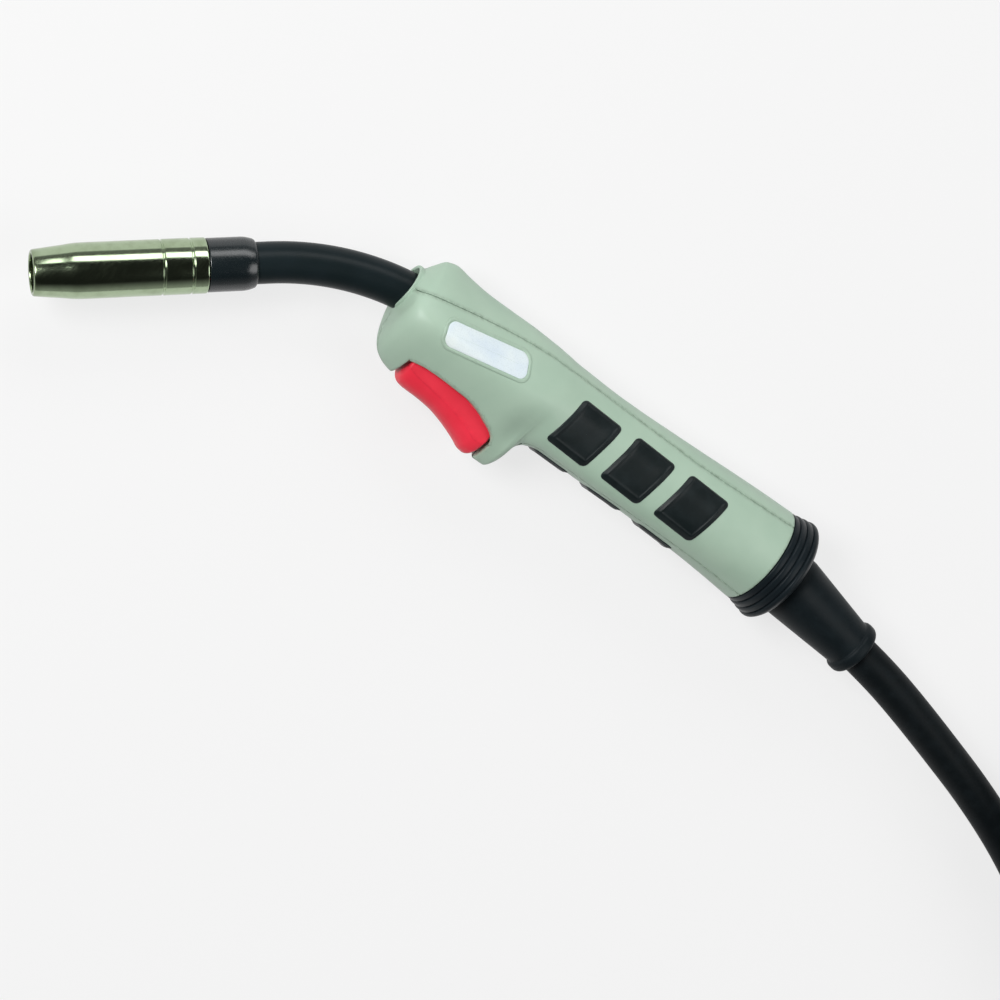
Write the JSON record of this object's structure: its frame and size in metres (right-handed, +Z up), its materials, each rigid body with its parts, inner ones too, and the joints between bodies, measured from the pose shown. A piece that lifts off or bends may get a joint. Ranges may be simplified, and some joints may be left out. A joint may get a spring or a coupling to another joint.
{
  "type": "mig welding torch",
  "caption": "MIG welding torch lying on its side: swan neck with gas nozzle, grip with soft pads and trigger, swivelling cable support, folded lead and central connector.",
  "frame": {"origin": "centre of the torch's outline on the bench it lies on, cable left out", "axes": "+X along the handle from the nozzle end to the cable, +Z up from the bench and towards the torch's right side, +Y towards the torch's back, away from the trigger"},
  "size_m": [0.8628, 0.1344, 0.0943],
  "materials": {
    "handle_shell": "satin sage grey polyamide",
    "soft_grip": "matt soft-touch",
    "trigger_red": "satin red",
    "black_nylon": "satin blue-black",
    "neck_jacket": "smooth heat-proof sleeve",
    "support_rubber": "satin moulded rubber",
    "cable_jacket": "satin extruded rubber",
    "nickel_plate": "polished nickel",
    "brass": "machined",
    "copper": "drawn copper alloy",
    "spring_steel": "bright",
    "blackened_steel": "blackened",
    "bearing_plastic": "natural low-friction plastic",
    "insulator_brown": "moulded high-temperature plastic",
    "switch_black": "moulded",
    "switch_red": "moulded",
    "lead_yellow": "wire insulation",
    "seal_black": "smooth"
  },
  "bodies": {
    "cable": {"swivel_ball": "black_nylon", "cable_support": "support_rubber", "cable_core": "cable_jacket", "cable_front": "cable_jacket", "cable_coil": "cable_jacket", "plug_boot": "support_rubber", "plug_cable": "cable_jacket", "plug_housing": "black_nylon", "housing_screws": "spring_steel", "plug_face": "bearing_plastic", "centre_plug": "brass", "gas_o_ring": "seal_black", "liner_nut": "brass"},
    "swivel": {"swivel_race": "bearing_plastic"},
    "handle": {"right_shell": "handle_shell", "left_shell": "handle_shell", "top_spine": "handle_shell", "belly_strip": "handle_shell", "right_pad_1": "soft_grip", "right_pad_2": "soft_grip", "right_pad_3": "soft_grip", "left_pad_1": "soft_grip", "left_pad_2": "soft_grip", "left_pad_3": "soft_grip", "belly_pad_1": "soft_grip", "belly_pad_2": "soft_grip", "belly_pad_3": "soft_grip", "shell_screws": "blackened_steel", "rear_collar": "black_nylon", "race_clip": "spring_steel", "inner_carrier": "black_nylon", "trigger_pin": "spring_steel", "trigger_spring": "spring_steel", "switch_body": "switch_black", "switch_leads": "lead_yellow", "neck_clamp": "brass", "neck_tube": "copper", "neck_jacket": "neck_jacket", "head_sleeve": "black_nylon", "nozzle_insulator": "insulator_brown", "nozzle_spring": "spring_steel", "gas_diffuser": "brass", "tip_holder": "brass", "contact_tip": "copper", "wire_liner": "spring_steel", "inner_cable": "cable_jacket"},
    "trigger": {"trigger": "trigger_red"},
    "switch_plunger": {"switch_plunger": "switch_red"},
    "nozzle": {"nozzle": "nickel_plate"},
    "union_nut": {"union_nut": "black_nylon"},
    "contact_pin_a": {"contact_pin_a": "brass"},
    "contact_pin_b": {"contact_pin_b": "brass"}
  },
  "joints": [
    {"name": "cable_swing", "type": "hinge", "parent": "cable", "child": "swivel", "pos_m": [0.11749, 0.03299, 0.022], "axis": [0, 0, 1], "range_deg": [-18.5, 5.5]},
    {"name": "handle_roll", "type": "hinge", "parent": "swivel", "child": "handle", "pos_m": [0.11749, 0.03299, 0.022], "axis": [-1, 0, 0], "range_deg": [0, 180]},
    {"name": "trigger_pull", "type": "hinge", "parent": "handle", "child": "trigger", "pos_m": [-0.03451, 0.01599, 0.022], "axis": [0, 0, 1], "range_deg": [0, 3.5], "stiffness_Nm_per_rad": 0.4, "springref_deg": -2.86, "deforming": ["trigger_spring"]},
    {"name": "switch_press", "type": "slide", "parent": "handle", "child": "switch_plunger", "axis": [0, 1, 0], "range_m": [0, 0.00106]},
    {"name": "nozzle_pull", "type": "slide", "parent": "handle", "child": "nozzle", "axis": [-0.7716, -0.6361, 0], "range_m": [0, 0.06]},
    {"name": "plug_nut_spin", "type": "hinge", "parent": "cable", "child": "union_nut", "pos_m": [0.58749, -0.02201, 0.0709], "axis": [1, 0, 0], "continuous": true},
    {"name": "pin_a_press", "type": "slide", "parent": "cable", "child": "contact_pin_a", "axis": [-1, 0, 0], "range_m": [0, 0.004], "stiffness_N_per_m": 300, "springref_m": -0.002},
    {"name": "pin_b_press", "type": "slide", "parent": "cable", "child": "contact_pin_b", "axis": [-1, 0, 0], "range_m": [0, 0.004], "stiffness_N_per_m": 300, "springref_m": -0.002}
  ],
  "couplings": [
    {"joint": "switch_press", "follows": "trigger_pull", "m_per_rad": 0.0172}
  ]
}
